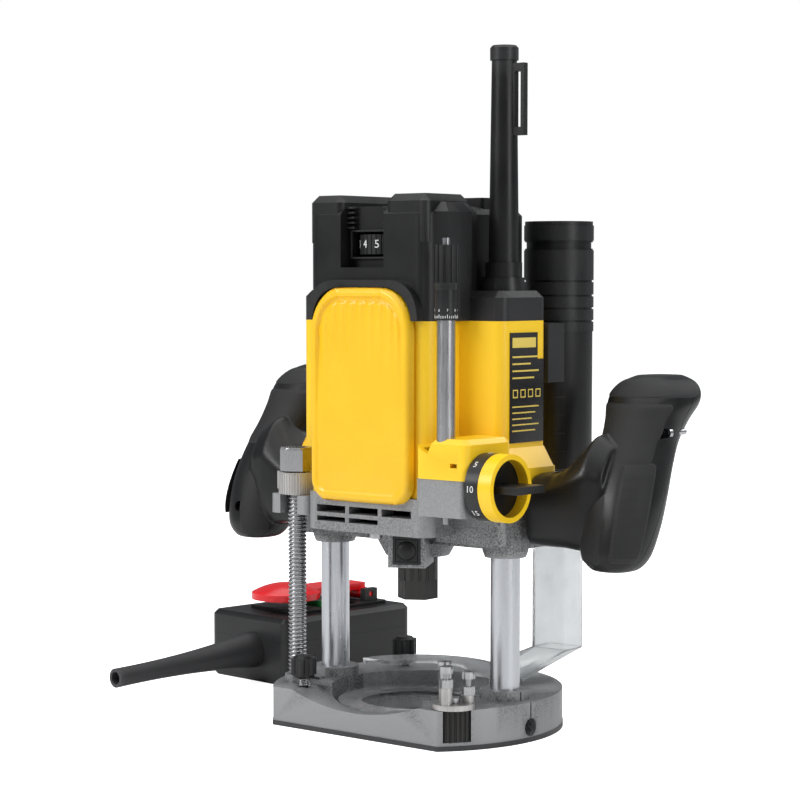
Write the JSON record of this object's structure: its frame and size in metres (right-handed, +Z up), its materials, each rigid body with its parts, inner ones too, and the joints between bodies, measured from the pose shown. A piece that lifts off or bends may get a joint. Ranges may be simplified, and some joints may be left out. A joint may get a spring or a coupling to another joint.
{
  "type": "plunge router",
  "caption": "Plunge router with leaning side grips, depth rod and turret stop, height spindle, clear dust hood with riser tube, cord tower and a loose stop-switch box.",
  "frame": {"origin": "spindle axis on the underside of the sole", "axes": "+Z up along the spindle, -Y towards the front panel, +X to the right-hand side as the user faces the front panel"},
  "size_m": [0.3964, 0.2414, 0.418],
  "materials": {
    "yellow_shell": "moulded yellow plastic, fine satin grain",
    "black_plastic": "moulded black plastic, fine spark-eroded grain",
    "cast_aluminium": "speckled grey die casting",
    "chrome_steel": "hard chromed and polished",
    "steel": "bright zinc-plated steel",
    "zinc_casting": "tumbled zinc die casting",
    "rubber_boot": "soft black rubber",
    "clear_plastic": "clear polycarbonate",
    "red_plastic": "glossy red plastic",
    "green_plastic": "glossy green plastic",
    "sole_plastic": "smooth phenolic sheet",
    "label": null,
    "lamination": "stacked electrical steel",
    "copper": "enamelled copper",
    "bronze": "sintered bronze",
    "brush_carbon": "pressed carbon",
    "board": "circuit board with black components"
  },
  "bodies": {
    "base": {"sole_plate": "sole_plastic", "sole_screws": "steel", "base_casting": "cast_aluminium", "guide_columns": "chrome_steel", "plunge_springs": "steel", "knob_springs": "steel", "dust_shroud": "clear_plastic", "dust_riser": "clear_plastic", "base_bolts": "steel"},
    "fence_clamp_front": {"fence_knob_front": "zinc_casting"},
    "fence_clamp_rear": {"fence_knob_rear": "zinc_casting"},
    "turret": {"turret_wheel": "black_plastic", "turret_stop_screws": "steel", "turret_lock_nuts": "steel"},
    "depth_spindle": {"height_spindle": "steel", "spindle_head_nut": "steel"},
    "carriage": {"carriage_casting": "cast_aluminium", "spindle_fork": "cast_aluminium", "motor_housing": "yellow_shell", "front_panel": "yellow_shell", "top_cap": "black_plastic", "cord_tower": "black_plastic", "tower_cap": "black_plastic", "dust_tube": "black_plastic", "left_handle_front": "black_plastic", "left_handle_rear": "black_plastic", "right_handle_front": "black_plastic", "right_handle_rear": "black_plastic", "case_screws": "steel", "rating_plate": "label", "dial_cover": "yellow_shell", "motor_stator": "lamination", "field_coils": "copper", "brush_holders": "bronze", "carbon_brushes": "brush_carbon", "shaft_bearings": "steel", "electronics_module": "board", "guide_bushes": "bronze", "spring_guide_pins": "steel", "lock_bezel": "zinc_casting"},
    "rotor": {"motor_shaft": "steel", "armature_core": "lamination", "commutator": "copper", "cooling_fan": "black_plastic", "collet": "steel", "collet_nut": "steel"},
    "lock_button": {"spindle_lock_button": "black_plastic"},
    "rod": {"depth_rod": "steel"},
    "rod_adjuster": {"rod_adjuster_knob": "black_plastic"},
    "rack": {"rack_knob": "yellow_shell"},
    "dial_ring": {"depth_dial": "black_plastic"},
    "release": {"release_nut": "zinc_casting"},
    "plunge_lock": {"plunge_lock_lever": "black_plastic"},
    "trigger_lever": {"trigger": "black_plastic"},
    "speed_wheel": {"speed_dial": "black_plastic"},
    "switch_box": {"switch_box_base": "black_plastic", "switch_box_lid": "black_plastic", "strain_boot": "rubber_boot"},
    "stop": {"stop_paddle": "red_plastic"},
    "start": {"start_button": "green_plastic"}
  },
  "joints": [
    {"name": "plunge", "type": "slide", "parent": "base", "child": "carriage", "axis": [0, 0, 1], "range_m": [-0.08, 0], "stiffness_N_per_m": 1000, "springref_m": 0.07, "deforming": ["plunge_springs"]},
    {"name": "fence_clamp_front_turn", "type": "hinge", "parent": "base", "child": "fence_clamp_front", "pos_m": [-0.0515, -0.0495, 0.03], "axis": [0, 0, 1], "range_deg": [-360, 0]},
    {"name": "fence_clamp_rear_turn", "type": "hinge", "parent": "base", "child": "fence_clamp_rear", "pos_m": [-0.0515, 0.0495, 0.03], "axis": [0, 0, 1], "range_deg": [-360, 0]},
    {"name": "turret_turn", "type": "hinge", "parent": "base", "child": "turret", "pos_m": [0.066, -0.048, 0.02], "axis": [0, 0, 1], "continuous": true},
    {"name": "spindle_turn", "type": "hinge", "parent": "base", "child": "depth_spindle", "pos_m": [-0.067, -0.038, 0.09], "axis": [0, 0, 1], "continuous": true},
    {"name": "rotor_spin", "type": "hinge", "parent": "carriage", "child": "rotor", "pos_m": [0, 0, 0.12], "axis": [0, 0, 1], "continuous": true},
    {"name": "lock_press", "type": "slide", "parent": "carriage", "child": "lock_button", "axis": [-0.5, 0.866, 0], "range_m": [0, 0.004], "stiffness_N_per_m": 600, "springref_m": -0.004},
    {"name": "rack_turn", "type": "hinge", "parent": "carriage", "child": "rack", "pos_m": [0.1, -0.0468, 0.157], "axis": [1, 0, 0], "range_deg": [-102, 665]},
    {"name": "rod_slide", "type": "slide", "parent": "carriage", "child": "rod", "axis": [0, 0, -1], "range_m": [-0.0099, 0.0649]},
    {"name": "rod_adjust", "type": "hinge", "parent": "rod", "child": "rod_adjuster", "pos_m": [0.0675, -0.057, 0.28], "axis": [0, 0, 1], "continuous": true},
    {"name": "dial_zero", "type": "hinge", "parent": "rack", "child": "dial_ring", "pos_m": [0.093, -0.0468, 0.157], "axis": [1, 0, 0], "range_deg": [-180, 180]},
    {"name": "release_turn", "type": "hinge", "parent": "carriage", "child": "release", "pos_m": [-0.067, -0.038, 0.15], "axis": [0, 0, 1], "range_deg": [-35, 35]},
    {"name": "plunge_lock_press", "type": "hinge", "parent": "carriage", "child": "plunge_lock", "pos_m": [-0.158, 0.029, 0.153], "axis": [0, -1, 0], "range_deg": [0, 4], "stiffness_Nm_per_rad": 0.8, "springref_deg": -4.01},
    {"name": "trigger_press", "type": "slide", "parent": "carriage", "child": "trigger_lever", "axis": [0, -1, 0], "range_m": [0, 0.004], "stiffness_N_per_m": 900, "springref_m": -0.004},
    {"name": "speed_turn", "type": "hinge", "parent": "carriage", "child": "speed_wheel", "pos_m": [-0.003, -0.027, 0.299], "axis": [0, 0, 1], "range_deg": [-135, 135]},
    {"name": "switch_box_place", "type": "slide", "parent": "base", "child": "switch_box", "axis": [0, 1, 0], "range_m": [0, 0.17]},
    {"name": "stop_flap", "type": "hinge", "parent": "switch_box", "child": "stop", "pos_m": [-0.17653, 0.13975, 0.053], "axis": [0.9945, -0.1045, 0], "range_deg": [-60, 3]},
    {"name": "start_press", "type": "slide", "parent": "switch_box", "child": "start", "axis": [0, 0, -1], "range_m": [0, 0.003], "stiffness_N_per_m": 400, "springref_m": -0.003}
  ],
  "couplings": [
    {"joint": "rack_turn", "follows": "rod_slide", "rad_per_m": 178.57}
  ]
}
